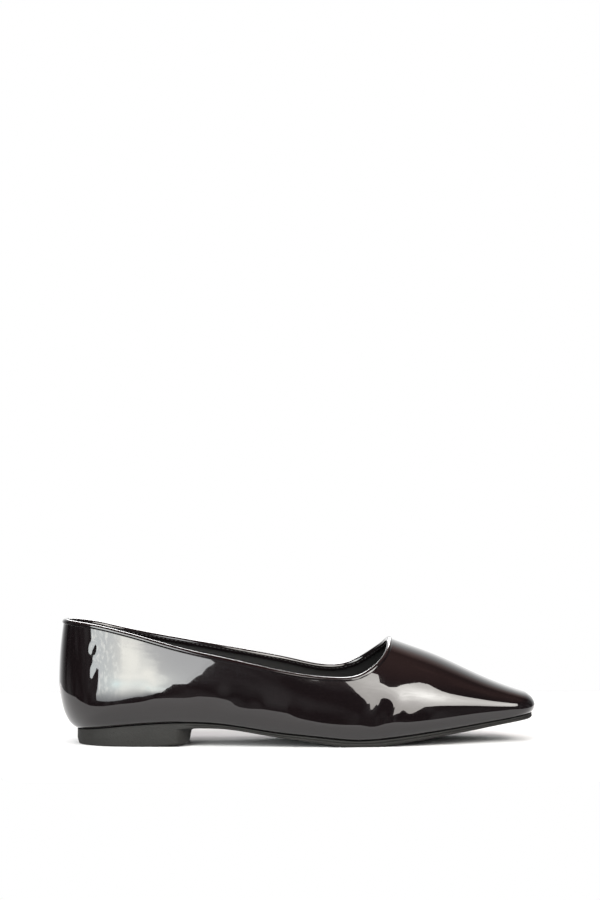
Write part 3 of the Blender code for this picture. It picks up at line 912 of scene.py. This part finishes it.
def binding_finish():
    """The collar's patent strip."""
    finish = Finish("binding_patent")
    pull = finish.grain(2.0 * MM)
    return finish.set(
        Base_Color=finish.tint(pull, (0.0038, 0.0026, 0.0029), (0.0028, 0.0020, 0.0023)),
        Roughness=0.08 + 0.08 * pull,
        Specular_IOR_Level=0.1,
        Coat_Weight=1.0,
        Coat_Roughness=0.03,
        Normal=finish.bump(pull, 0.03 * MM),
    )


def thread_finish():
    """Black sewing thread with a slight gloss."""
    finish = Finish("black_thread")
    twist = finish.grain(0.2 * MM)
    return finish.set(
        Base_Color=finish.tint(twist, (0.006, 0.006, 0.006), (0.02, 0.02, 0.02)),
        Roughness=0.4 + 0.2 * twist,
        Normal=finish.bump(twist, 0.05 * MM),
    )


def rubber_finish():
    """Matte moulded rubber, dark grey, with a fine even grain and faint clouds."""
    finish = Finish("sole_rubber")
    grain = finish.grain(1.2 * MM, detail=3.0, roughness=0.75)
    cloud = finish.grain(12 * MM)
    shade = 0.7 * grain + 0.3 * cloud
    return finish.set(
        Base_Color=finish.tint(shade, (0.0013, 0.0012, 0.0010), (0.0155, 0.0148, 0.0134)),
        Roughness=0.55 + 0.25 * grain,
        Specular_IOR_Level=0.25,
        Normal=finish.bump(grain, 0.3 * MM),
    )


def sock_finish():
    """Matte black sock with a soft leather grain."""
    finish = Finish("black_sock")
    grain = finish.grain(1.1 * MM, detail=3.0)
    return finish.set(
        Base_Color=finish.tint(grain, (0.016, 0.0152, 0.0148), (0.032, 0.0308, 0.030)),
        Roughness=0.5 + 0.25 * grain,
        Specular_IOR_Level=0.25,
        Normal=finish.bump(grain, 0.15 * MM),
    )


# Studio

def add_sheet(name, places, material):
    """A flat sheet of the studio between its corners' places."""
    bm = bmesh.new()
    bm.faces.new([bm.verts.new(place) for place in places])
    mesh = mesh_from(bm, name)
    mesh.materials.append(material)
    return add_object(name, mesh)


def floor_finish():
    """A pale, quite matte table top, faintly clouded."""
    finish = Finish("pale_floor")
    grain = finish.grain(0.8)
    return finish.set(
        Base_Color=finish.tint(grain, (0.64, 0.64, 0.645), (0.66, 0.66, 0.665)),
        Roughness=0.9,
        Specular_IOR_Level=0.0,
    )


def add_floor():
    """The table top under the shoe, which ends a little in front of it."""
    floor = add_sheet("floor", [(*corner, 0) for corner in FLOOR_CORNERS], floor_finish())


def direction(turn, rise):
    """A way out from the shoe, by its turn to the right of the lateral side and its rise above level."""
    return Vector((math.sin(turn) * math.cos(rise), -math.cos(turn) * math.cos(rise), math.sin(rise)))


def from_shoe(bearing, height):
    """The place at a softbox's distance from the shoe, by its bearing and height in degrees."""
    return CAMERA_TARGET + direction(math.radians(bearing), math.radians(height)) * SOFTBOX_DISTANCE


def sine(degrees):
    """The sine of an angle in degrees."""
    return math.sin(math.radians(degrees))


def aside_of(finish, way, bearing):
    """How far a direction from the shoe lies to the right of a bearing."""
    turn = math.radians(bearing)
    return finish.along(way, (math.cos(turn), math.sin(turn), 0))


def glow_share(finish, way, folds, bearing, height, across, up):
    """How strongly a glow tints its softbox's cloth, less and less away from its middle."""
    aside = aside_of(finish, way, bearing) / sine(across) + FOLD_SWAY * folds
    above = (finish.along(way, UPWARD) - sine(height)) / sine(up)
    return 1 / (1 + aside * aside + above * above)


def dull_share(finish, way, folds, start, full, lean):
    """How dull a softbox's cloth is, from one bearing to another, leaning with the height."""
    above = finish.along(way, UPWARD) - sine(DULL_HEIGHT)
    aside = aside_of(finish, way, start) + lean * above + DULL_SWAY * folds
    return finish.ramp(aside, 0.0, sine(full - start))


def cloth_light(finish, cloth, glow, streaks, dull_side, crumpled):
    """The tints of a softbox's cloth, by the directions in which the shoe sees it."""
    offset = finish.node("VectorMath", {"operation": "SUBTRACT"}, {0: finish.place, 1: CAMERA_TARGET})
    way = finish.node("VectorMath", {"operation": "NORMALIZE"}, {0: offset})
    folds = finish.grain(CLOTH_FOLD, detail=3.0, roughness=0.6) - 0.5
    *glow_place, glow_tint = glow
    light = finish.tint(glow_share(finish, way, folds, *glow_place), cloth, glow_tint)
    if crumpled:
        crumple = CRUMPLE_SHARE * finish.ramp(folds, CRUMPLE_LOW, CRUMPLE_HIGH)
        light = finish.tint(crumple, light, CRUMPLE_TINT)
    if dull_side:
        *dull_place, dull_tint = dull_side
        light = finish.tint(dull_share(finish, way, folds, *dull_place), light, dull_tint)
    for *streak_place, streak_tint in streaks:
        light = finish.tint(glow_share(finish, way, folds, *streak_place), light, streak_tint)
    above_hem = finish.ramp(finish.along(way, UPWARD), sine(HEM_LOW), sine(HEM_HIGH))
    return finish.tint(above_hem, HEM_TINT, light)


def add_softbox(name, corners, radiance, cloth, glow,
                streaks=(), dull_side=None, crumpled=False, mirrored=True):
    """A softbox as a glowing sheet between its corners."""
    finish = Finish(name)
    light = cloth_light(finish, cloth, glow, streaks, dull_side, crumpled)
    material = finish.set(
        Base_Color=(0, 0, 0, 1),
        Specular_IOR_Level=0.0,
        Emission_Strength=radiance,
        Emission_Color=light,
    )
    softbox = add_sheet(name, [from_shoe(*corner) for corner in corners], material)
    softbox.visible_camera = False
    softbox.visible_glossy = mirrored


def room_clouds(room, way):
    """Faint clouds over the room, as heights from 0 to 1 by the direction."""
    stretched = room.node("VectorMath", {"operation": "MULTIPLY"}, {0: way, 1: CLOUD_STRETCH})
    return room.node("TexNoise", None, {
        "Vector": stretched,
        "Scale": CLOUD_SCALE,
        "Detail": CLOUD_DETAIL,
        "Roughness": CLOUD_ROUGHNESS,
    })


def light_world():
    """White to the camera, a white backdrop behind the shoe, and a dim, clouded room with a warm ceiling."""
    world = bpy.data.worlds.new("studio")
    bpy.context.scene.world = world
    world.use_nodes = True
    room = Nodes(world.node_tree)
    way = room.node("TexCoord", output="Generated")
    rise = room.along(way, UPWARD)
    lit = ((room.along(way, TO_BACKDROP), BACKDROP), (rise, CEILING), (room_clouds(room, way), CLOUDS))
    strength = room.node("LightPath", output="Is Camera Ray")
    for source, (low, high, dim, bright) in lit:
        strength = room.ramp(source, low, high, dim, bright, "LINEAR").at_least(strength)
    warmth = room.ramp(rise, *WARM_CEILING, shape="LINEAR")
    background = room.tree.nodes["Background"]
    room.feed(background.inputs["Strength"], strength)
    room.feed(background.inputs["Color"], room.tint(warmth, WHITE, WARM_TINT))


def add_camera():
    """The camera at the photograph's angle: nearly level, square to the lateral side."""
    back = direction(CAMERA_YAW, CAMERA_ELEVATION)
    right = Vector((math.cos(CAMERA_YAW), math.sin(CAMERA_YAW), 0))
    up = back.cross(right)
    camera_data = bpy.data.cameras.new("camera")
    camera_data.sensor_fit = "AUTO"
    camera_data.sensor_width = SENSOR
    camera_data.lens = SENSOR * CAMERA_DISTANCE / FRAME_HEIGHT_AT_SHOE
    camera = add_object("camera", camera_data)
    aim = -back * CAMERA_DISTANCE + up * CAMERA_AIM_UP + right * CAMERA_AIM_RIGHT
    camera.location = CAMERA_TARGET + back * CAMERA_DISTANCE
    camera.rotation_euler = aim.to_track_quat("-Z", "Y").to_euler()
    bpy.context.scene.camera = camera


collar = make_upper()
make_binding(collar)
make_stitches(collar)
make_sock()
make_outsole()
add_floor()
for softbox_name, softbox in SOFTBOXES.items():
    add_softbox(softbox_name, **softbox)
light_world()
add_camera()
bpy.context.scene.view_settings.view_transform = "Standard"

bpy.context.view_layer.update()
